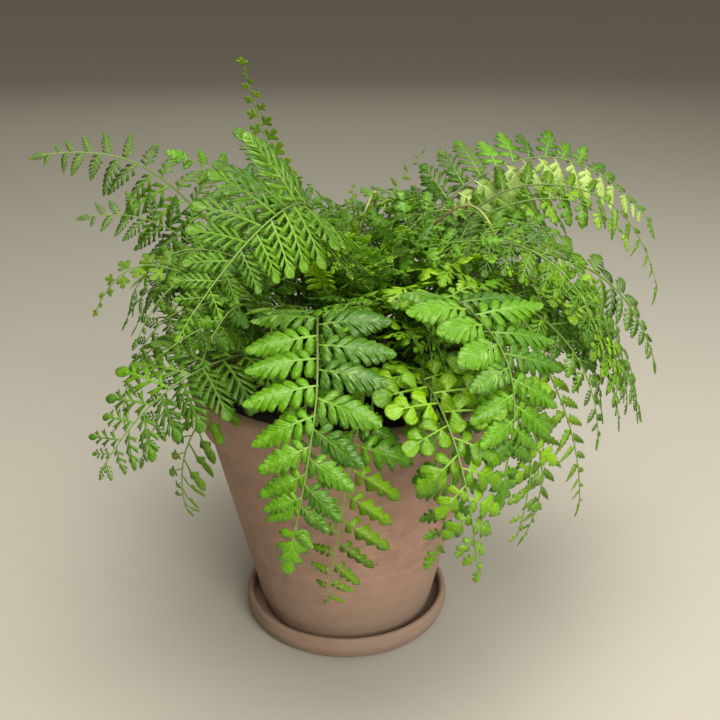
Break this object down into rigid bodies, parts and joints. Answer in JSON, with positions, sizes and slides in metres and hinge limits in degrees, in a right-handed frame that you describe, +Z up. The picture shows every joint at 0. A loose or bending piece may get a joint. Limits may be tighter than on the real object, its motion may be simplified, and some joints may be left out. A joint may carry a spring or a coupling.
{
  "type": "potted mother fern",
  "caption": "Arching, finely cut mother fern growing in a plain tapered clay pot that stands in a shallow matching saucer.",
  "frame": {"origin": "centre of the saucer's flat underside, on the surface it stands on", "axes": "+Z up along the pot's axis, -Y towards the side with the hanging glossy fronds"},
  "size_m": [0.3848, 0.3432, 0.3306],
  "materials": {
    "clay_pot": "matte",
    "clay_saucer": "matte",
    "soil": "matte",
    "rootstock": "matte",
    "leaf_broad": "gloss",
    "leaf_fine": "satin",
    "leaf_slim": "satin",
    "leaf_young": "satin",
    "leaf_small": "satin",
    "crozier": "matte"
  },
  "bodies": {
    "root": {"pot": "clay_pot", "saucer": "clay_saucer", "soil": "soil", "root_crown": "rootstock", "frond_front_left": "leaf_broad", "frond_front_right": "leaf_broad", "frond_front_young": "leaf_young", "frond_front_slim": "leaf_slim", "frond_left_wide": "leaf_fine", "frond_far_left": "leaf_fine", "frond_left_upper": "leaf_fine", "frond_spike": "leaf_small", "frond_left_back": "leaf_broad", "frond_left_yellow": "leaf_small", "frond_left_dark": "leaf_fine", "frond_left_low": "leaf_fine", "frond_left_comb": "leaf_fine", "frond_left_sprig": "leaf_slim", "frond_right_back": "leaf_fine", "frond_right_far": "leaf_slim", "frond_right_curl": "leaf_fine", "frond_right_low": "leaf_fine", "frond_right_hanging": "leaf_slim", "frond_right_silver": "leaf_fine", "frond_right_sprig": "leaf_slim", "frond_back_thin": "leaf_slim", "frond_back_a": "leaf_fine", "frond_back_b": "leaf_fine", "frond_back_c": "leaf_broad", "frond_back_d": "leaf_slim", "frond_back_e": "leaf_fine", "frond_back_f": "leaf_fine", "frond_back_g": "leaf_fine", "frond_back_h": "leaf_fine", "frond_right_side": "leaf_fine", "frond_left_side": "leaf_slim", "frond_inner_a": "leaf_young", "frond_inner_b": "leaf_young", "frond_inner_c": "leaf_small", "frond_inner_d": "leaf_fine", "frond_inner_e": "leaf_fine", "frond_rim_a": "leaf_young", "frond_rim_b": "leaf_fine", "crozier_right": "crozier", "crozier_back": "crozier"}
  },
  "joints": []
}
